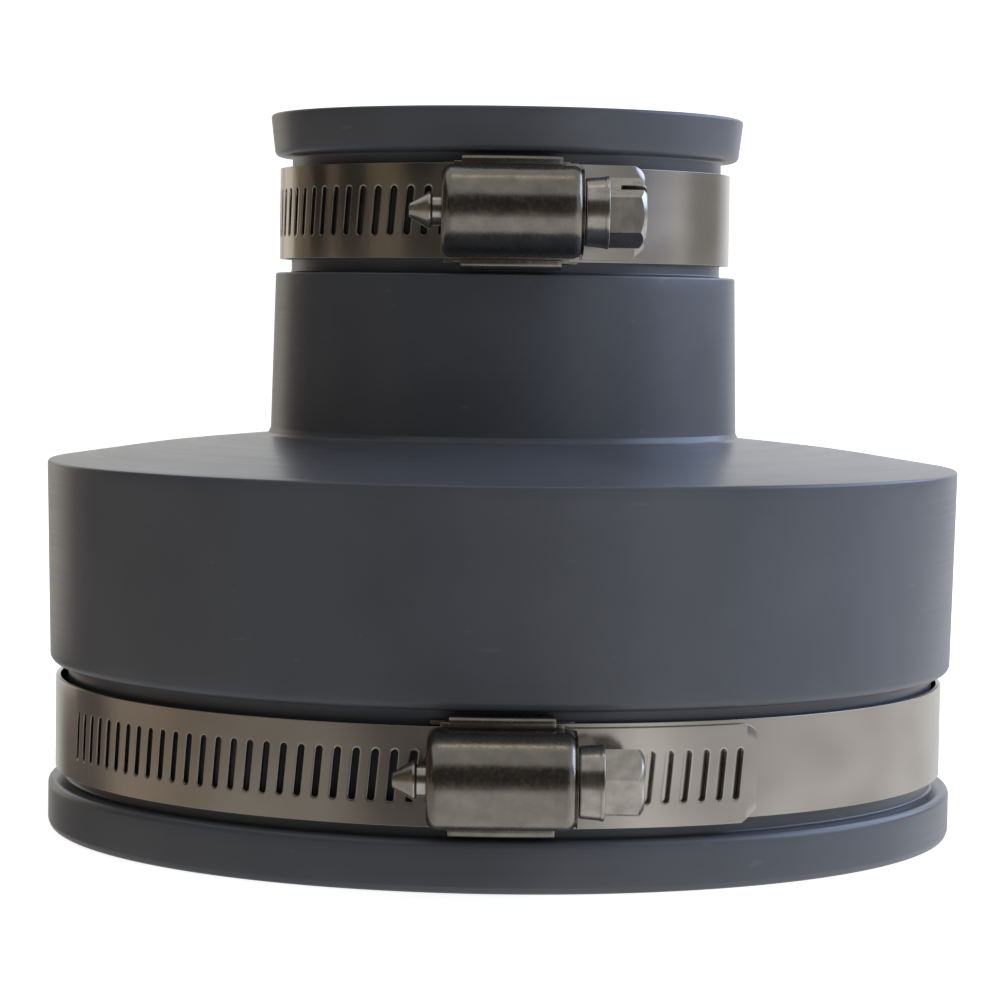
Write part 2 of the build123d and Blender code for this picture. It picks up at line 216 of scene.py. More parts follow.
def place_piece(piece, body, node, material):
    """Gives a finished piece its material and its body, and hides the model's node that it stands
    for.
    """
    piece.data.materials.append(material)
    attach(piece, body)
    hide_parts(node)
    return piece


# --------------------------------------------------------------------------- materials


def linear(colour):
    """An sRGB hex colour as linear red, green, blue and alpha."""
    parts = np.array([int(colour[i:i + 2], 16) for i in (1, 3, 5)]) / 255
    parts = np.where(parts <= 0.04045, parts / 12.92, ((parts + 0.055) / 1.055) ** 2.4)
    return (*parts.tolist(), 1.0)


def new_material(name):
    """An empty node material with its Principled shader and its output."""
    material = bpy.data.materials.new(name)
    material.use_nodes = True
    tree = material.node_tree
    return material, tree, tree.nodes["Principled BSDF"]


def add(tree, kind, links=None, **settings):
    """Adds a node: settings are its properties or input values, links its linked inputs."""
    node = tree.nodes.new(kind)
    for name, value in settings.items():
        if hasattr(node, name):
            setattr(node, name, value)
        else:
            node.inputs[name.replace("_", " ")].default_value = value
    for name, source in (links or {}).items():
        tree.links.new(source, node.inputs[name])
    return node


def ramp(tree, factor, stops):
    """A colour ramp between (position, hex colour) stops."""
    node = add(tree, "ShaderNodeValToRGB", {"Fac": factor})
    node.color_ramp.elements.remove(node.color_ramp.elements[1])
    for k, (position, colour) in enumerate(stops):
        element = node.color_ramp.elements[0] if k == 0 else node.color_ramp.elements.new(position)
        element.position = position
        element.color = linear(colour)
    return node.outputs["Color"]


def stretched(tree, source, scale):
    """A coordinate scaled by a different amount each way."""
    return add(tree, "ShaderNodeMapping", {"Vector": source}, Scale=scale).outputs["Vector"]


def noise(tree, vector, scale, detail=3.0, roughness=0.5):
    """Value of a noise pattern at a scale in cells to the metre."""
    return add(tree, "ShaderNodeTexNoise", {"Vector": vector}, Scale=scale, Detail=detail,
               Roughness=roughness).outputs["Fac"]


def span(tree, value, low, high, to_low, to_high):
    """A value between low and high carried to the range between to_low and to_high."""
    node = add(tree, "ShaderNodeMapRange", {"Value": value}, From_Min=low, From_Max=high,
               To_Min=to_low, To_Max=to_high)
    return node.outputs["Result"]


def blend(tree, share, first, second):
    """First colour where share is 0 and second where it is 1; each is a link or a hex colour."""
    node = add(tree, "ShaderNodeMix", {"Factor": share}, data_type="RGBA")
    for socket, colour in ((node.inputs[6], first), (node.inputs[7], second)):
        if isinstance(colour, str):
            socket.default_value = linear(colour)
        else:
            tree.links.new(colour, socket)
    return node.outputs[2]


def bump(tree, height, distance, under=None):
    """A bump of a height pattern; distance is its depth in metres."""
    links = {"Height": height} if under is None else {"Height": height, "Normal": under}
    return add(tree, "ShaderNodeBump", links, Distance=distance).outputs["Normal"]


def finish(tree, shader, colour, rough, normal, metallic=0.0):
    """Links a shader's colour, roughness and normal, and sets how metallic it is."""
    for name, source in (("Base Color", colour), ("Roughness", rough), ("Normal", normal)):
        tree.links.new(source, shader.inputs[name])
    shader.inputs["Metallic"].default_value = metallic


def elastomeric_pvc(look):
    """Elastomeric PVC, injection moulded in a turned steel mould: a satin grey that is a little
    bluer where it catches light, with the mould's fine turning lines round it, a faint
    unevenness of the skin, and small rubbed marks."""
    material, tree, shader = new_material("elastomeric_pvc")
    place = add(tree, "ShaderNodeTexCoord").outputs["Object"]
    # Turning lines stand 0.25 mm apart up the axis, and hold along the circle for centimetres.
    lines = noise(tree, stretched(tree, place, (30, 30, 4000)), 1.0, 2.0)
    cloud = noise(tree, place, 60.0, 4.0)
    skin = noise(tree, place, 1800.0, 3.0)
    marks = noise(tree, stretched(tree, place, (300, 300, 800)), 1.0, 1.0)
    tone = ramp(tree, cloud, [(0.3, look.sleeve_dark), (0.7, look.sleeve_light)])
    rubbed = blend(tree, span(tree, marks, 0.74, 0.8, 0.0, 0.3), tone, look.sleeve_rubbed)
    rough = span(tree, lines, 0.3, 0.7, look.sleeve_roughness - 0.02, look.sleeve_roughness + 0.02)
    fine = bump(tree, lines, 0.0015 * MM)
    finish(tree, shader, rubbed, rough, bump(tree, skin, 0.003 * MM, under=fine))
    shader.inputs["IOR"].default_value = 1.5
    return material


def rolled_strip(look):
    """Annealed stainless strip, cold rolled and slit: satin, with fine lines along its length
    and slow changes of tone from handling."""
    material, tree, shader = new_material("rolled_stainless_strip")
    along = add(tree, "ShaderNodeTexCoord").outputs["UV"]
    # Rolling lines are about 0.1 mm apart across the strip and run 20 mm along it. They are drawn
    # 0.4 mm apart, since closer ones merge at arm's length.
    lines = noise(tree, stretched(tree, along, (50, 2500, 1)), 1.0, 1.0)
    handled = noise(tree, stretched(tree, along, (60, 110, 1)), 1.0, 1.0)
    tone = ramp(tree, handled, [(0.3, look.strip_dark), (0.7, look.strip_light)])
    rough = span(tree, handled, 0.3, 0.7, look.strip_roughness - 0.02, look.strip_roughness + 0.02)
    finish(tree, shader, tone, rough, bump(tree, lines, 0.0012 * MM), metallic=1.0)
    return material


def pressed_stainless(look):
    """Stainless sheet, deep drawn and tumbled: satin, with shallow pits and a drawn, slightly
    wavy skin."""
    material, tree, shader = new_material("pressed_stainless")
    place = add(tree, "ShaderNodeTexCoord").outputs["Object"]
    pits = noise(tree, place, 1800.0, 1.0)
    wave = noise(tree, stretched(tree, place, (160, 420, 420)), 1.0, 2.0)
    tone = ramp(tree, noise(tree, place, 400.0, 4.0),
                [(0.3, look.pressed_dark), (0.7, look.pressed_light)])
    rough = span(tree, pits, 0.35, 0.75, look.pressed_roughness, look.pressed_roughness + 0.1)
    skin = bump(tree, pits, 0.002 * MM, under=bump(tree, wave, 0.03 * MM))
    finish(tree, shader, tone, rough, skin, metallic=1.0)
    return material


def turned_stainless(look):
    """Stainless bar, turned and thread rolled: bright, with fine lines round the screw's axis,
    which lies along X."""
    material, tree, shader = new_material("turned_stainless")
    place = add(tree, "ShaderNodeTexCoord").outputs["Object"]
    # Tool marks are 0.12 mm apart along the screw.
    lines = noise(tree, stretched(tree, place, (8000, 120, 120)), 1.0, 2.0)
    tone = ramp(tree, noise(tree, place, 500.0, 3.0),
                [(0.3, look.turned_dark), (0.7, look.turned_light)])
    rough = span(tree, lines, 0.3, 0.7, look.turned_roughness, look.turned_roughness + 0.08)
    finish(tree, shader, tone, rough, bump(tree, lines, 0.0015 * MM), metallic=1.0)
    return material


def translucent_paper(look):
    """Matt seamless paper, lit softly from behind as on a light table, with a very faint mottle."""
    material, tree, shader = new_material("translucent_paper")
    place = add(tree, "ShaderNodeTexCoord").outputs["Object"]
    rough = span(tree, noise(tree, place, 30.0), 0.3, 0.7, 0.85, 0.9)
    tree.links.new(rough, shader.inputs["Roughness"])
    shader.inputs["Base Color"].default_value = linear(look.paper)
    shader.inputs["Emission Color"].default_value = linear(look.paper)
    shader.inputs["Emission Strength"].default_value = look.paper_glow
    return material


FINISHES = {}


def finish_for(maker):
    """The material a maker function gives, made once."""
    if maker.__name__ not in FINISHES:
        FINISHES[maker.__name__] = maker(bpy.context.scene.coupling_look)
    return FINISHES[maker.__name__]


# ------------------------------------------------------------------------ size settings


def length(name, millimetres, description):
    """A length property, kept in metres, whose default is given in millimetres."""
    return FloatProperty(name=name, default=millimetres * MM, description=description, min=0.0,
                         precision=5, unit="LENGTH")


class CouplingSleeve(bpy.types.PropertyGroup):
    """Sizes of the moulded sleeve."""
    wall_large: length("Large wall", 3.7, "Wall under the large clamp")
    wall_small: length("Small wall", 3.3, "Wall under the small clamp")
    groove: length("Groove width", 16.3, "Width of each clamp's groove")
    shoulder_rise: length("Shoulder rise", 3.9, "Height of the sloping shoulder")
    crown: length("Shoulder crown", 0.45, "Bulge of the shoulder above a straight slope")
    neck: length("Neck height", 22.7, "Neck above the shoulder")
    shoulder_wall: length("Shoulder wall", 6.0, "Thickness of the shoulder")
    ledge: length("Pipe stop", 2.5, "Ledge that stops the small pipe")
    ledge_height: length("Pipe stop height", 5.0, "Height of the pipe stop")
    seal_width: length("Seal groove", 2.4, "Width of each ring cut in the sockets")
    seal_pitch: length("Seal pitch", 4.6, "Distance between the rings")
    seal_depth: length("Seal depth", 0.6, "Depth of the rings")
    large_rim: length("Large rim", 2.7, "Depth of the large groove at the mouth's rim")
    barrel_edge: length("Barrel edge", 2.5, "Depth of the large groove at the barrel")
    neck_foot: length("Neck foot", 2.7, "Foot of the neck, out from the small groove's floor")
    neck_edge: length("Neck edge", 2.2, "Depth of the small groove at the neck")
    lip_edge: length("Lip edge", 2.4, "Depth of the small groove at the lip")
    lip_top: length("Lip top", 3.1, "Top of the lip, out from the small groove's floor")
    lead_in: length("Lead-in", 1.0, "Sloped edge inside each mouth")
    segments: IntProperty(name="Segments", default=256, min=32, description="Faces round it")


class CouplingClamp(bpy.types.PropertyGroup):
    """Sizes shared by the two clamps."""
    strip_width: length("Strip width", 12.7, "Width of the slotted strip")
    strip_thickness: length("Strip thickness", 0.65, "Thickness of the slotted strip")
    layer_gap: length("Layer gap", 0.1, "Between the strip's overlapping layers")
    pitch: length("Slot pitch", 2.5, "Distance between slots, and the worm's lead")
    slot_width: length("Slot width", 0.94, "Width of a slot")
    slot_length: length("Slot length", 6.6, "Length of a slot")
    tail_corner: length("Tail corner", 2.2, "Trimmed corners of the free end")
    tail_land: length("Tail land", 2.95, "Plain strip beyond the last slot")
    head_reach: length("Head reach", 6.2, "End of the inner layer, past the housing's middle")
    saddle_gap: length("Saddle gap", 0.1, "Between the plate and the strip")
    saddle_thickness: length("Saddle thickness", 0.45, "Plate under the strip")
    saddle_length: length("Saddle length", 18.0, "Plate, round the sleeve")
    lug_length: length("Lug length", 13.3, "Folded lugs, round the sleeve")
    lug_thickness: length("Lug thickness", 0.6, "Thickness of a lug")
    lug_fold: length("Lug fold", 1.35, "How far a lug is folded over")
    lug_half: length("Lug half width", 7.6, "Outside of a lug from the strip's middle")
    housing_length: length("Housing length", 18.6, "Length of the tunnel")
    housing_radius: length("Housing radius", 6.09, "Outside of the tunnel")
    housing_thickness: length("Housing wall", 0.9, "Thickness of the tunnel")
    housing_round: length("Housing rounding", 1.5, "Pressed rounding of its ends")
    foot_gap: length("Foot gap", 0.1, "Between a foot and the strip")
    foot_thickness: length("Foot thickness", 0.8, "Thickness of a foot")
    foot_half: length("Foot half width", 6.8, "Outside of a foot from the middle")
    worm_radius: length("Worm radius", 4.7, "Crest of the worm")
    worm_root: length("Worm root", 3.6, "Root of the worm")
    worm_end_gap: length("Worm end gap", 0.35, "Worm to the housing's end wall")
    worm_depth_left: length("Worm gap", 0.1, "Crest to the far face of the strip")
    tip_reach: length("Tip reach", 4.3, "Tip beyond the housing")
    tip_length: length("Tip length", 2.9, "Length of the cone tip")
    tip_radius: length("Tip radius", 0.9, "End of the cone tip")
    tip_base: length("Tip base", 2.65, "Base of the cone tip")
    tip_neck: length("Tip neck", 2.0, "Neck behind the tip")
    head_neck: length("Head neck", 3.25, "Neck at the collar")
    collar_gap: length("Collar gap", 0.25, "Collar to the housing")
    collar_length: length("Collar length", 3.2, "Length of the collar")
    collar_small: length("Collar radius", 4.5, "Collar at the housing")
    collar_large: length("Collar rim", 4.8, "Collar at the hexagon")
    hex_flats: length("Hexagon", 8.0, "Hexagon across flats")
    hex_length: length("Hexagon length", 4.9, "Length of the hexagon")
    hex_face: length("Hexagon face", 3.4, "Radius of the flat end, beyond which it slopes")
    driver_width: length("Driver slot", 1.06, "Width of the driver slot")
    driver_depth: length("Driver slot depth", 3.2, "Depth of the driver slot")


class CouplingStrip(bpy.types.PropertyGroup):
    """How one clamp's strip is slotted and overlapped, and how its hexagon stands."""
    first_slot: IntProperty(name="First slot", default=-29, description="Pitches to the left")
    last_slot: IntProperty(name="Last slot", default=12, description="Pitches to the right")
    phase: FloatProperty(name="Phase", default=0.5, description="Share of a pitch")
    drift: length("Drift", 0.3, "How far each end strays from the strip's mean height")
    drift_sign: IntProperty(name="Drift direction", default=-1,
                            description="-1 if the free end is lower")
    hex_tilt: FloatProperty(name="Hexagon tilt", subtype="ANGLE", default=0.0,
                            description="How far up the front flat faces")
    slot_turn: FloatProperty(name="Driver slot turn", subtype="ANGLE", default=1.0,
                             description="From the front flat to the driver slot")


def shade_of(name, default, description):
    """A colour property written as an sRGB hex value."""
    return StringProperty(name=name, default=default, description=description)


def rough_of(name, default):
    """A roughness property."""
    return FloatProperty(name=name, default=default, min=0.0, max=1.0, subtype="FACTOR",
                         description="Roughness of the finish")


class CouplingLook(bpy.types.PropertyGroup):
    """Colours and roughness of the finishes."""
    sleeve_dark: shade_of("Sleeve, dark", "#5a5e66", "Deeper tone of the moulding")
    sleeve_light: shade_of("Sleeve, light", "#63676f", "Lighter tone of the moulding")
    sleeve_rubbed: shade_of("Sleeve, rubbed", "#7c8088", "Tone of rubbed marks")
    sleeve_roughness: rough_of("Sleeve roughness", 0.3)
    strip_dark: shade_of("Strip, dark", "#a8a29a", "Deeper tone of the strip")
    strip_light: shade_of("Strip, light", "#bbb6ae", "Lighter tone of the strip")
    strip_roughness: rough_of("Strip roughness", 0.18)
    pressed_dark: shade_of("Pressed parts, dark", "#837e77", "Deeper tone of the housing")
    pressed_light: shade_of("Pressed parts, light", "#979289", "Lighter tone of the housing")
    pressed_roughness: rough_of("Pressed parts roughness", 0.2)
    turned_dark: shade_of("Screw, dark", "#a8a49c", "Deeper tone of the screw")
    turned_light: shade_of("Screw, light", "#c6c2ba", "Lighter tone of the screw")
    turned_roughness: rough_of("Screw roughness", 0.2)
    paper: shade_of("Backdrop", "#f4f4f4", "Colour of the floor and backdrop")
    paper_glow: FloatProperty(name="Backdrop glow", default=0.9, min=0.0,
                              description="Light that comes through the paper")


class CouplingStage(bpy.types.PropertyGroup):
    """The camera, the floor and the lights."""
    distance: length("Camera distance", 495, "Camera to the sleeve's axis")
    height: length("Camera height", 73.9, "Camera above the floor")
    aside: length("Camera aside", 0.3, "Camera to the left of the sleeve's axis")
    pitch: FloatProperty(name="Pitch", subtype="ANGLE", default=math.radians(3.24),
                         description="How far down the camera looks")
    roll: FloatProperty(name="Roll", subtype="ANGLE", default=math.radians(0.8),
                        description="Turn of the camera about its own axis")
    lens: FloatProperty(name="Lens", default=125.2, description="Focal length in millimetres")


# ----------------------------------------------------------------------------- sleeve


def seal_corners(bore, middle, sizes):
    """Corners, downwards, of the shallow rings in a socket's wall."""
    corners = []
    for k in (1, 0, -1):
        top = middle + k * sizes.seal_pitch + sizes.seal_width / 2
        bottom, depth = top - sizes.seal_width, sizes.seal_depth
        corners += [(bore, top, 0.15 * MM), (bore + depth, top - depth, 0.3 * MM),
                    (bore + depth, bottom + depth, 0.3 * MM), (bore, bottom, 0.15 * MM)]
    return corners


def sleeve_outline(sizes):
    """Half section of the sleeve as (radius, height, rounding) corners: up the outside from the
    large mouth, over the small rim, and down the inside past the pipe stop."""
    large, small = (Place(name, bpy.context.scene.coupling_clamp) for name in CLAMPS)
    low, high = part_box("sleeve")
    gap = 0.1 * MM
    floor_l, floor_s = large.plate_in - gap, small.plate_in - gap
    bore_l, bore_s = floor_l - sizes.wall_large, floor_s - sizes.wall_small
    half = sizes.groove / 2
    barrel_z, neck_z = large.height + half, small.height - half
    neck = neck_z - sizes.neck
    shoulder = neck - sizes.shoulder_rise
    barrel_r, rim_r, neck_r = high.x, floor_l + sizes.large_rim, floor_s + sizes.neck_foot
    slope = sizes.shoulder_rise / (barrel_r - neck_r)
    ledge = shoulder + slope * (barrel_r - bore_l) - sizes.shoulder_wall
    stop_r = bore_s - sizes.ledge
    stop = ledge + slope * (bore_l - stop_r)
    crown = ((barrel_r + neck_r) / 2, (shoulder + neck) / 2 + sizes.crown, 150 * MM)
    bevel, draft = 0.9 * MM, 0.35 * MM
    return [
        (rim_r - draft, low.z, 0.6 * MM),
        (rim_r, low.z + bevel, 0.6 * MM),
        (rim_r, large.height - half, 0.9 * MM),
        (floor_l, large.height - half, 0.4 * MM),
        (floor_l, barrel_z, 0.4 * MM),
        (floor_l + sizes.barrel_edge, barrel_z, 1.2 * MM),
        (barrel_r, shoulder, 0.45 * MM),
        crown,
        (neck_r + bevel, neck - 0.1 * MM, 0.3 * MM),
        (neck_r + draft, neck + 0.15 * MM, 0.3 * MM),
        (neck_r, neck + bevel, 0.3 * MM),
        (floor_s + sizes.neck_edge, neck_z, 0.35 * MM),
        (floor_s, neck_z, 0.4 * MM),
        (floor_s, small.height + half, 0.4 * MM),
        (floor_s + sizes.lip_edge, small.height + half, 0.9 * MM),
        (floor_s + sizes.lip_top, high.z, 0.45 * MM),
        (bore_s + sizes.lead_in, high.z, 0.3 * MM),
        (bore_s, high.z - sizes.lead_in, 0.3 * MM),
        *seal_corners(bore_s, small.height, sizes),
        (bore_s, stop + sizes.ledge_height, 0.4 * MM),
        (stop_r, stop + sizes.ledge_height, 0.4 * MM),
        (stop_r, stop, 0.4 * MM),
        (bore_l, ledge, 0.4 * MM),
        *seal_corners(bore_l, large.height, sizes),
        (bore_l, low.z + sizes.lead_in, 0.3 * MM),
        (bore_l + sizes.lead_in, low.z, 0.3 * MM),
    ]


class COUPLING_OT_sleeve(bpy.types.Operator):
    """Builds the moulded sleeve"""
    bl_idname = "coupling.sleeve"
    bl_label = "Sleeve"

    def execute(self, context):
        sizes = context.scene.coupling_sleeve
        profile = rounded(sleeve_outline(sizes), step=2.0 * MM, turn=math.radians(15))
        points = lathe(profile, sizes.segments)
        faces = grid_faces(len(profile), sizes.segments, True, True)
        piece = new_piece("moulded_sleeve", points, faces)
        cap(piece)
        place_piece(piece, "sleeve", "sleeve", finish_for(elastomeric_pvc))
        return {"FINISHED"}


# ----------------------------------------------------------------------------- strips


def strip_path(place, s, head_angle):
    """Centre and outward direction of the strip at lengths s from its head end: an arc of the
    head layer's radius to the back, a half circle of the mean radius round to the front, then an
    arc of the tail layer's radius. Each starts where the last ends, in the same direction."""
    shift = (place.tail_r - place.head_r) / 2
    mean = (place.tail_r + place.head_r) / 2
    first = place.head_r * (math.pi + head_angle)
    second = first + mean * math.pi
    parts = (s < first, s < second)
    radius = np.select(parts, (place.head_r, mean), place.tail_r)
    begun = np.select(parts, (0, first), second)
    start = np.select(parts, (-math.pi / 2 - head_angle, math.pi / 2), 1.5 * math.pi)
    centre = np.select(parts, (0, -shift), 0)
    angle = start + (s - begun) / radius
    return np.cos(angle), np.sin(angle), radius, centre, second


def slot_cell(sizes):
    """One cell of the strip round a slot, in the strip's own plane. Rows of the result: the
    levels of its sides, the rings round the slot and the extra points of its long edges. A ring
    point at angle a of a slot's round end meets the cell's side or edge at the same place in
    order, and the slot leans by the worm's lead angle."""
    half_w, half_l = sizes.slot_width / 2, sizes.slot_length / 2
    straight = half_l - half_w
    width, pitch = sizes.strip_width / 2, sizes.pitch / 2
    between = (straight + width) / 2
    levels = np.array([-width, -between, -straight, -straight / 2, 0, straight / 2, straight,
                       between, width])
    right = np.column_stack((np.full(9, pitch), levels))
    top = np.column_stack(((0.5 * pitch, 0, -0.5 * pitch), (width,) * 3))
    outer = np.vstack((right, top, right[::-1] * (-1, 1), top[::-1] * (1, -1)))
    turn = np.radians((-45, -22.5, 0))
    arc_low = np.column_stack((np.cos(turn), np.sin(turn)))
    side = np.array([(1, -straight / 2), (1, 0), (1, straight / 2)])
    turn = np.radians((0, 22.5, 45, 67.5, 90, 112.5))
    arc_high = np.column_stack((np.cos(turn), np.sin(turn)))

    def ring(grow):
        radius = half_w + grow
        low = arc_low * radius + (0, -straight)
        middle = side * (radius, 1)
        high = arc_high * radius + (0, straight)
        half_ring = np.vstack((low, middle, high))
        return np.vstack((half_ring, -half_ring))

    lean = sizes.pitch / (2 * math.pi * (sizes.worm_radius - sizes.strip_thickness))
    rings = np.vstack((ring(0), ring(0.3 * MM)))
    rings[:, 0] += rings[:, 1] * lean
    return levels, outer, rings


def trimmed(flat, total, sizes):
    """The flat strip with its free end's corners cut back: the half width shrinks along the last
    stretch, on the upper side as a round corner and on the lower side straight."""
    s, z = flat[:, 0], flat[:, 1]
    corner, half = sizes.tail_corner, sizes.strip_width / 2
    round_share, straight_share = 0.9, 0.8
    past = np.clip(s - (total - corner), 0, corner)
    round_cut = (corner - np.sqrt(np.maximum(corner ** 2 - past ** 2, 0))) * round_share
    return np.column_stack((s, z * (1 - np.where(z > 0, round_cut, past * straight_share) / half)))


def strip_surface(place, sizes, strip):
    """The strip's middle surface: a grid of columns along its length, where each slot's column is
    a ring of faces round the slot. Returns points in the clamp's own place, faces, and lengths
    along and across."""
    head_angle = sizes.head_reach / place.head_r
    front = strip_path(place, np.zeros(1), head_angle)[4]
    total = front + (strip.last_slot + strip.phase) * sizes.pitch + sizes.tail_land
    levels, outer, rings = slot_cell(sizes)
    n = len(levels)
    slots = front + (np.arange(strip.first_slot, strip.last_slot + 1) + strip.phase) * sizes.pitch
    begin, end = slots[0] - sizes.pitch / 2, slots[-1] + sizes.pitch / 2
    before = np.linspace(0, begin, int(begin / sizes.pitch) + 1)
    cells = begin + np.arange(1, len(slots)) * sizes.pitch
    land_columns = 16
    after = np.linspace(end, total, land_columns + 1)
    edges = np.concatenate((before, cells, after))
    grid = np.stack(np.meshgrid(edges, levels, indexing="ij"), axis=-1).reshape(-1, 2)
    extra = np.vstack((outer[n:n + 3], outer[-3:]))
    inside = np.vstack((rings, extra))
    offsets = np.column_stack((slots, np.zeros(len(slots))))
    flat = np.vstack((grid, (inside[None] + offsets[:, None]).reshape(-1, 2)))
    column = len(before) - 1 + np.arange(len(slots))
    base = len(grid) + np.arange(len(slots)) * len(inside)
    around = len(outer)
    local = np.hstack((
        (column + 1)[:, None] * n + np.arange(n),
        base[:, None] + 2 * around + np.arange(3),
        column[:, None] * n + np.arange(n)[::-1],
        base[:, None] + 2 * around + 3 + np.arange(3),
        base[:, None] + np.arange(2 * around),
    ))
    k = np.arange(around)
    on = (k + 1) % around
    wide = np.stack((k, on, 2 * around + on, 2 * around + k), axis=-1)
    narrow = np.stack((2 * around + k, 2 * around + on, around + on, around + k), axis=-1)
    ring_faces = local[:, np.vstack((wide, narrow))].reshape(-1, 4)
    plain = np.concatenate((np.arange(len(before) - 1), column[-1] + 1 + np.arange(land_columns)))
    row = np.arange(n - 1)
    a = (plain[:, None] * n + row).ravel()
    plain_faces = np.stack((a, a + n, a + n + 1, a + 1), axis=-1)
    flat = trimmed(flat, total, sizes)
    s, z = flat[:, 0], flat[:, 1]
    cos, sin, radius, centre, _ = strip_path(place, s, head_angle)
    drift = strip.drift * strip.drift_sign * (2 * s / total - 1)
    points = np.column_stack((cos * radius, sin * radius + centre, z + drift))
    return place.to_row(points), np.vstack((ring_faces, plain_faces)), flat


def each_clamp(scene):
    """Each clamp's name, place, sizes and strip in turn."""
    sizes = scene.coupling_clamp
    for name in CLAMPS:
        yield name, Place(name, sizes), sizes, getattr(scene, "coupling_" + name)


class COUPLING_OT_strips(bpy.types.Operator):
    """Builds the slotted strips of both clamps"""
    bl_idname = "coupling.strips"
    bl_label = "Clamp strips"

    def execute(self, context):
        for name, place, sizes, strip in each_clamp(context.scene):
            points, faces, flat = strip_surface(place, sizes, strip)
            piece = new_piece(name + "_slotted_strip", points, faces, flat)
            solid = piece.modifiers.new("strip_thickness", "SOLIDIFY")
            solid.thickness = sizes.strip_thickness
            solid.offset = 0.0
            soften(piece, 0.07 * MM)
            place_piece(piece, name + "_band", name + "_clamp_band",
                        finish_for(rolled_strip))
        return {"FINISHED"}


# ---------------------------------------------------------------- housings and saddles


class COUPLING_OT_saddles(bpy.types.Operator):
    """Builds the plates under the strips, with the lugs folded over the housings' feet"""
    bl_idname = "coupling.saddles"
    bl_label = "Clamp saddles"

    def execute(self, context):
        for name, place, sizes, _ in each_clamp(context.scene):
            outer_z, inner_z = sizes.lug_half, sizes.lug_half - sizes.lug_thickness
            out_r = place.foot_out + sizes.lug_thickness
            tip_z = outer_z - sizes.lug_fold
            half = [
                (place.plate_in, outer_z, 0.5 * MM),
                (out_r, outer_z, 0.75 * MM),
                (out_r, tip_z, 0.15 * MM),
                (place.foot_out, tip_z, 0.1 * MM),
                (place.foot_out, inner_z, 0.12 * MM),
                (place.plate_out, inner_z, 0.12 * MM),
            ]
            lug = rounded(half + [(r, -z, k) for r, z, k in reversed(half)])
            tongue_z = sizes.foot_half
            plate = rounded([
                (place.plate_in, tongue_z, 0.1 * MM), (place.plate_out, tongue_z, 0.1 * MM),
                (place.plate_out, -tongue_z, 0.1 * MM), (place.plate_in, -tongue_z, 0.1 * MM)])
            lugs = sector(lug, sizes.lug_length / 2 / place.foot_out, 24)
            tongue = sector(plate, sizes.saddle_length / 2 / place.plate_in, 24)
            points, faces = join_parts([lugs, tongue])
            piece = new_piece(name + "_saddle", place.to_row(points), faces)
            cap(piece)
            soften(piece, 0.05 * MM, angle=50)
            place_piece(piece, name + "_clamp", name + "_clamp_saddle",
                        finish_for(pressed_stainless))
        return {"FINISHED"}


def tunnel_surface(place, sizes):
    """Outside of the housing. A row has a distance x along the screw and a radius rho; it is two
    straight legs at height -rho and +rho joined by a half circle of radius rho about the screw's
    axis. The legs end on a circle just clear of the strip's upper face, taken a wall's thickness
    further in so that the inside of an end wall clears it too. Rows start at one notch, go out over
    the end wall, round its edge, along the tunnel, and in to the other notch."""
    half, radius = sizes.housing_length / 2, sizes.housing_radius
    bend = sizes.housing_round
    clear, bulge = 0.1 * MM, 0.12 * MM
    left, right = sizes.tip_neck + clear, sizes.head_neck + clear
    rows = rounded([
        (-half, left, 0), (-half - bulge, (left + radius) / 2, 2 * MM), (-half, radius, bend),
        (half, radius, bend), (half + bulge, (right + radius) / 2, 2 * MM), (half, right, 0),
    ], closed=False, step=0.8 * MM)
    x, rho = rows[:, :1], rows[:, 1:]
    around = np.linspace(0, np.pi, 41)
    leg = np.linspace(0, 1, 9)
    inside = np.maximum(np.abs(x) - sizes.housing_thickness, 0)
    bottom = place.axis_r - np.sqrt(place.foot_in ** 2 - inside ** 2)
    y = np.hstack((bottom * (1 - leg[:-1]), -rho * np.sin(around), bottom * leg[1:]))
    z = np.hstack((-rho + 0 * leg[:-1], -rho * np.cos(around), rho + 0 * leg[1:]))
    points = np.stack((x + 0 * y, y - place.axis_r, z), axis=-1).reshape(-1, 3)
    return points, grid_faces(len(rows), y.shape[1])


class COUPLING_OT_housings(bpy.types.Operator):
    """Builds the pressed tunnels over the worms, with their feet"""
    bl_idname = "coupling.housings"
    bl_label = "Clamp housings"

    def execute(self, context):
        for name, place, sizes, _ in each_clamp(context.scene):
            points, faces = tunnel_surface(place, sizes)
            piece = new_piece(name + "_housing", place.to_row(points), faces)
            solid = piece.modifiers.new("wall", "SOLIDIFY")
            solid.thickness = sizes.housing_thickness
            solid.offset = 1.0
            soften(piece, 0.15 * MM, angle=50)
            place_piece(piece, name + "_clamp", name + "_clamp_housing",
                        finish_for(pressed_stainless))
            in_leg = sizes.housing_radius - 0.4 * MM
            foot = rounded([
                (place.foot_in, in_leg, 0.1 * MM), (place.foot_out, in_leg, 0.1 * MM),
                (place.foot_out, sizes.foot_half, 0.2 * MM),
                (place.foot_in, sizes.foot_half, 0.2 * MM)])
            reach = (sizes.housing_length / 2 - sizes.housing_round) / place.foot_out
            parts = [sector(foot * (1, side), reach, 20) for side in (-1, 1)]
            points, faces = join_parts(parts)
            feet = new_piece(name + "_housing_feet", place.to_row(points), faces)
            cap(feet)
            soften(feet, 0.05 * MM, angle=50)
            place_piece(feet, name + "_clamp", name + "_clamp_housing",
                        finish_for(pressed_stainless))
        return {"FINISHED"}


# ----------------------------------------------------------------------------- screws


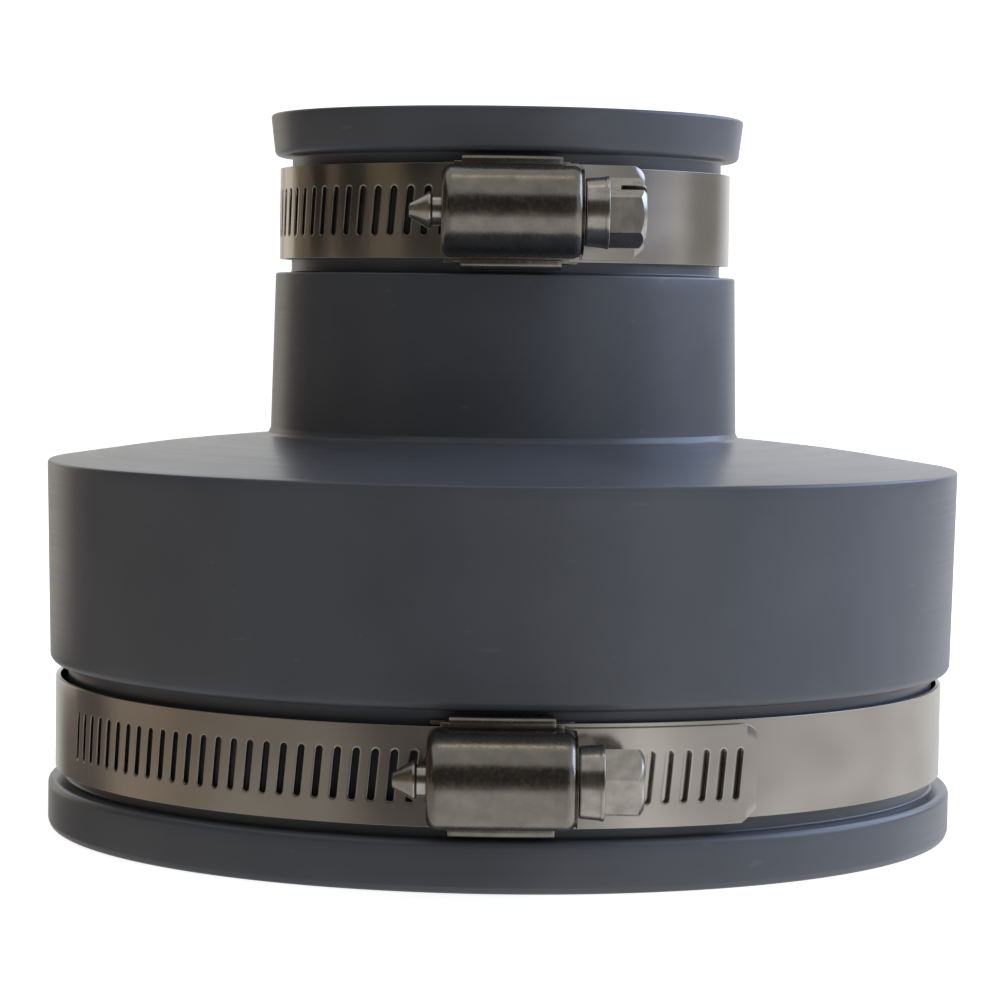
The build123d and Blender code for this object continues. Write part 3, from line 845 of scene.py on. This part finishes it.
def shaft_surface(place, sizes, strip):
    """Everything of the screw but its hexagon. The profile is turned about the screw's axis, and
    on the worm the radius grows by the tooth: a trapezium that follows x = lead * angle / 2 pi,
    right-handed, with its crest on the slots."""
    half = sizes.housing_length / 2
    worm = half - sizes.housing_thickness - sizes.worm_end_gap
    tip = -half - sizes.tip_reach
    cone = tip + sizes.tip_length
    collar = half + sizes.collar_gap
    rim = collar + sizes.collar_length
    rim_r = sizes.collar_large
    first = rounded([
        (0, tip, 0), (sizes.tip_radius, tip, 0.35 * MM), (sizes.tip_base, cone, 0.3 * MM),
        (sizes.tip_neck, cone + 0.15 * MM, 0.1 * MM), (sizes.tip_neck, -worm, 0),
    ], closed=False, step=0.5 * MM)
    steps = int(2 * worm / (0.1 * MM))
    middle = np.column_stack((np.full(steps, sizes.worm_root), np.linspace(-worm, worm, steps)))
    last = rounded([
        (sizes.head_neck, worm, 0), (sizes.head_neck, collar, 0.1 * MM),
        (sizes.collar_small, collar, 0.25 * MM), (rim_r - 0.1 * MM, rim - 0.7 * MM, 0.4 * MM),
        (rim_r, rim - 0.45 * MM, 0.12 * MM), (rim_r, rim - 0.1 * MM, 0.12 * MM),
        (sizes.hex_flats / 2, rim, 0), (0, rim, 0),
    ], closed=False, step=0.5 * MM)
    profile = np.vstack((first, middle, last))
    segments = 72
    points = lathe(profile, segments, "X").reshape(-1, segments, 3)
    angle = np.linspace(0, 2 * np.pi, segments, endpoint=False)
    x = points[:, :, 0]
    lead = sizes.pitch
    away = np.abs((x - (strip.phase + angle / (2 * np.pi)) * lead + lead / 2) % lead - lead / 2)
    foot_half, crest_half = 0.45 * MM, 0.18 * MM
    height = sizes.worm_radius - sizes.worm_root
    tooth = np.clip((foot_half - away) / (foot_half - crest_half), 0, 1) * height
    tooth = np.clip(np.minimum(tooth, worm - np.abs(x)), 0, None)
    on_worm = np.zeros(len(profile))
    on_worm[len(first):len(first) + steps] = 1
    points[:, :, 1] += tooth * on_worm[:, None] * np.cos(angle)
    points[:, :, 2] += tooth * on_worm[:, None] * np.sin(angle)
    return points.reshape(-1, 3) - (0, place.axis_r, 0), grid_faces(
        len(profile), segments, close_columns=True)


def hexagon_surface(place, sizes, strip):
    """The slotted hexagon. Lines parallel to the driver slot cross the hexagon from flat to flat,
    and a line's points crowd towards its ends, at sines of equal steps. Their height is the end
    face, less a cone beyond the face's radius, or the slot's round floor. The rim drops straight
    into the collar."""
    flat = sizes.hex_flats / 2
    side = flat / math.sqrt(3)
    half_slot = sizes.driver_width / 2
    sunk_foot, slope = 0.05 * MM, math.tan(math.radians(35))
    base = sizes.housing_length / 2 + sizes.collar_gap + sizes.collar_length - sunk_foot
    top = base + sizes.hex_length
    outer = np.concatenate((np.linspace(2 * side, side, 7), np.linspace(side, half_slot, 8)[1:]))
    inner = np.cos(np.linspace(0, np.pi, 11)) * half_slot
    v = np.concatenate((outer, inner, -outer[::-1]))
    sunk = np.zeros(len(v), bool)
    sunk[len(outer):len(outer) + len(inner)] = True
    reach = np.minimum(flat, flat * (2 * side - np.abs(v)) / side)
    t = np.sin(np.linspace(-np.pi / 2, np.pi / 2, 25))
    u = reach[:, None] * t
    ring = np.hypot(u, v[:, None])
    end = top - np.maximum(0, ring - sizes.hex_face) * slope
    floor = top - sizes.driver_depth - np.sqrt(np.maximum(half_slot ** 2 - v ** 2, 0))[:, None]
    x = np.where(sunk[:, None], floor + 0 * u, end)
    rise = strip.hex_tilt + strip.slot_turn
    uy, uz = -math.cos(rise), math.sin(rise)

    def at(along, across, height):
        return np.stack((height, along * uy - across * uz - place.axis_r,
                         along * uz + across * uy), axis=-1)

    wide = v[:, None] + 0 * u
    face = at(u, wide, x).reshape(-1, 3)
    parts = [(face, grid_faces(len(v), len(t)))]
    for edge in (0, -1):
        rim = at(u[:, edge], v, x[:, edge])
        foot = at(u[:, edge], v, np.full(len(v), base))
        parts.append((np.stack((rim, foot), axis=1).reshape(-1, 3), grid_faces(len(v), 2)))
    return join_parts(parts)


class COUPLING_OT_screws(bpy.types.Operator):
    """Builds the worm screws with their slotted hexagons"""
    bl_idname = "coupling.screws"
    bl_label = "Worm screws"

    def execute(self, context):
        for name, place, sizes, strip in each_clamp(context.scene):
            points, faces = shaft_surface(place, sizes, strip)
            shaft = new_piece(name + "_worm_screw", place.to_row(points), faces)
            cap(shaft)
            shaft.data.set_sharp_from_angle(angle=math.radians(50))
            points, faces = hexagon_surface(place, sizes, strip)
            hexagon = new_piece(name + "_screw_hexagon", place.to_row(points), faces)
            cap(hexagon)
            soften(hexagon, 0.09 * MM, angle=25)
            for piece in (shaft, hexagon):
                place_piece(piece, name + "_screw", name + "_clamp_screw",
                            finish_for(turned_stainless))
        return {"FINISHED"}


# ------------------------------------------------------------------------------ stage


def backdrop(name):
    """Floor that turns up into a wall behind: flat, a quarter circle, then straight up."""
    reach, bend, height, width = 1.6, 0.5, 3.0, 9.0
    run = rounded([(-width, 0, 0), (reach, 0, bend), (reach, height, 0)], closed=False, step=0.1)
    x = np.linspace(-width, width, 25)
    points = np.stack((x + 0 * run[:, :1], run[:, :1] + 0 * x, run[:, 1:] + 0 * x), axis=-1)
    piece = new_piece(name, points.reshape(-1, 3), grid_faces(len(run), len(x))[:, ::-1])
    piece.data.materials.append(finish_for(translucent_paper))
    # The bench below the horizon is part of the room's light, so the paper only shows itself.
    piece.visible_glossy = piece.visible_diffuse = piece.visible_shadow = False


# Each soft light's name, place, width and height in metres, power in watts, and colour.
SOFT_LIGHTS = (
    ("right_window", (1.0, 0.3, 0.6), (1.4, 0.8), 10.5, "#c4d8ff"),
    ("left_window", (-0.55, 0.75, 0.12), (0.3, 0.4), 0.2, "#fff6ea"),
    ("back_window", (0.0, 1.0, 0.45), (1.4, 0.4), 0.7, "#ffffff"),
    ("overhead", (0.0, -0.1, 1.2), (2.4, 2.2), 7.2, "#ffffff"),
    ("ceiling_lamp", (0.0, 0.05, 1.1), (0.3, 0.1), 0.1, "#fff0d8"),
)


def soft_light(name, place, size, power, colour, aim=(0, 0, 0.05)):
    """A rectangular soft light at place, pointing at aim, the middle of the coupling."""
    light = bpy.data.lights.new(name, "AREA")
    light.shape = "RECTANGLE"
    light.size, light.size_y = size
    light.energy = power
    light.color = linear(colour)[:3]
    lamp = bpy.data.objects.new(name, light)
    away = np.array(place, float) - np.array(aim, float)
    away /= np.linalg.norm(away)
    side = np.cross((0, 0, 1), away)
    side /= np.linalg.norm(side)
    up = np.cross(away, side)
    rows = np.column_stack((side, up, away, place))
    lamp.matrix_world = Matrix([*rows.tolist(), (0, 0, 0, 1)])
    bpy.context.scene.collection.objects.link(lamp)


def room_light():
    """Light of the room by direction. Round the room, from the back by the left, the camera's side
    and the right to the back again, one ramp holds above the horizon and one below it, where a
    bench returns the light. The ceiling is dim and the bench straight below is bright. The stops
    are close together because the strips mirror them as bands, like those on the real clamps."""
    world = bpy.data.worlds.new("room")
    world.use_nodes = True
    tree = world.node_tree
    direction = add(tree, "ShaderNodeTexCoord").outputs["Generated"]
    split = add(tree, "ShaderNodeSeparateXYZ", {"Vector": direction}).outputs
    front = span(tree, split["Y"], -1, 1, 1, -1)
    turn = add(tree, "ShaderNodeMath", {0: split["X"], 1: front}, operation="ARCTAN2").outputs[0]
    turn = span(tree, turn, -math.pi, math.pi, 0, 1)
    high = ramp(tree, turn, [
        (0.0, "#e8e8e8"), (0.04, "#e4e2de"), (0.07, "#a8a49a"), (0.11, "#9c9488"),
        (0.15, "#7a6e60"), (0.172, "#7a6e60"), (0.18, "#2c2a28"), (0.212, "#2c2a28"),
        (0.22, "#746860"), (0.24, "#645a50"), (0.25, "#302e2c"), (0.29, "#302e2c"),
        (0.302, "#6e6354"), (0.348, "#6e6354"), (0.36, "#2e2b28"), (0.39, "#2e2b28"),
        (0.41, "#4e4842"), (0.5, "#3c3a37"), (0.56, "#4c4d50"), (0.61, "#b4b5b8"),
        (0.67, "#a4a5a8"), (0.7, "#909298"), (0.735, "#a4a4a8"), (0.775, "#cccccc"),
        (0.81, "#9a9a98"), (0.88, "#9a9896"), (0.91, "#d0d2d6"), (0.95, "#fcfcff"),
        (1.0, "#e8e8e8")])
    low = ramp(tree, turn, [
        (0.0, "#d8d8d4"), (0.05, "#d8d8d4"), (0.09, "#746a64"), (0.16, "#665f5c"),
        (0.19, "#a69a8e"), (0.27, "#968a7c"), (0.3, "#9c9690"), (0.38, "#9c9690"),
        (0.42, "#625e5a"), (0.5, "#605f5e"), (0.56, "#c0c0c2"), (0.6, "#ffffff"),
        (0.65, "#c6c6c8"), (0.7, "#e2e2e4"), (0.74, "#dedee0"), (0.8, "#e2e2e4"),
        (0.85, "#ececee"), (0.92, "#e6e6e8"), (1.0, "#d8d8d4")])
    sides = blend(tree, span(tree, split["Z"], -0.1, 0.0, 1, 0), high, low)
    above = blend(tree, span(tree, split["Z"], 0.3, 0.9, 0, 1), sides, "#3c3a37")
    bench = blend(tree, span(tree, split["X"], -0.6, 0.8, 0, 1), "#a8a6a2", "#fafafc")
    total = blend(tree, span(tree, split["Z"], -0.32, -0.2, 1, 0), above, bench)
    tree.links.new(total, tree.nodes["Background"].inputs["Color"])
    return world


class COUPLING_OT_stage(bpy.types.Operator):
    """Sets the camera, the floor and the lights"""
    bl_idname = "coupling.stage"
    bl_label = "Stage"

    def execute(self, context):
        stage = context.scene.coupling_stage
        camera = bpy.data.cameras.new("camera")
        camera.lens = stage.lens
        camera.sensor_width = 36.0
        holder = bpy.data.objects.new("camera", camera)
        tilt = Matrix.Rotation(math.pi / 2 - stage.pitch, 4, "X")
        place = Matrix.Translation((-stage.aside, -stage.distance, stage.height))
        holder.matrix_world = place @ tilt @ Matrix.Rotation(stage.roll, 4, "Z")
        context.scene.collection.objects.link(holder)
        context.scene.camera = holder
        backdrop("studio_floor")
        for light in SOFT_LIGHTS:
            soft_light(*light)
        context.scene.world = room_light()
        context.scene.view_settings.view_transform = "Standard"
        return {"FINISHED"}


# ------------------------------------------------------------------------------ panel


class COUPLING_PT_panel(bpy.types.Panel):
    """Lists the coupling's pieces and sizes"""
    bl_idname = "COUPLING_PT_panel"
    bl_label = "Reducing coupling"
    bl_space_type = "VIEW_3D"
    bl_region_type = "UI"
    bl_category = "Coupling"

    def draw(self, context):
        for operator in OPERATORS:
            self.layout.operator(operator.bl_idname)
        for group in SETTINGS:
            settings = getattr(context.scene, group)
            box = self.layout.box()
            for name in settings.__annotations__:
                box.prop(settings, name)


OPERATORS = (COUPLING_OT_stage, COUPLING_OT_sleeve, COUPLING_OT_strips, COUPLING_OT_saddles,
             COUPLING_OT_housings, COUPLING_OT_screws)
SETTINGS = {
    "coupling_sleeve": CouplingSleeve, "coupling_clamp": CouplingClamp,
    "coupling_large": CouplingStrip, "coupling_small": CouplingStrip,
    "coupling_look": CouplingLook, "coupling_stage": CouplingStage,
}
CLASSES = tuple(dict.fromkeys(SETTINGS.values())) + OPERATORS + (COUPLING_PT_panel,)


def register():
    """Registers the classes and hangs the settings on the scene."""
    for cls in CLASSES:
        bpy.utils.register_class(cls)
    for name, group in SETTINGS.items():
        setattr(bpy.types.Scene, name, PointerProperty(type=group))


def unregister():
    """Takes the settings and the classes away again."""
    for name in SETTINGS:
        delattr(bpy.types.Scene, name)
    for cls in reversed(CLASSES):
        bpy.utils.unregister_class(cls)


def set_strips(scene):
    """How the two strips differ: their overlap, their slots and how their hexagons stand."""
    large, small = scene.coupling_large, scene.coupling_small
    large.hex_tilt, large.slot_turn = (math.radians(a) for a in (-19, -60))
    large.drift, large.drift_sign = 0.3 * MM, -1
    small.hex_tilt, small.slot_turn = (math.radians(a) for a in (-5, 60))
    small.first_slot, small.last_slot, small.phase = -32, 6, 0.4
    small.drift, small.drift_sign = 0.2 * MM, 1


def main():
    """Builds everything in order."""
    register()
    set_strips(bpy.context.scene)
    for operator in OPERATORS:
        group, name = operator.bl_idname.split(".")
        if getattr(getattr(bpy.ops, group), name)() != {"FINISHED"}:
            raise RuntimeError("the operator " + operator.bl_idname + " did not finish")


if __name__ == "__main__":
    main()
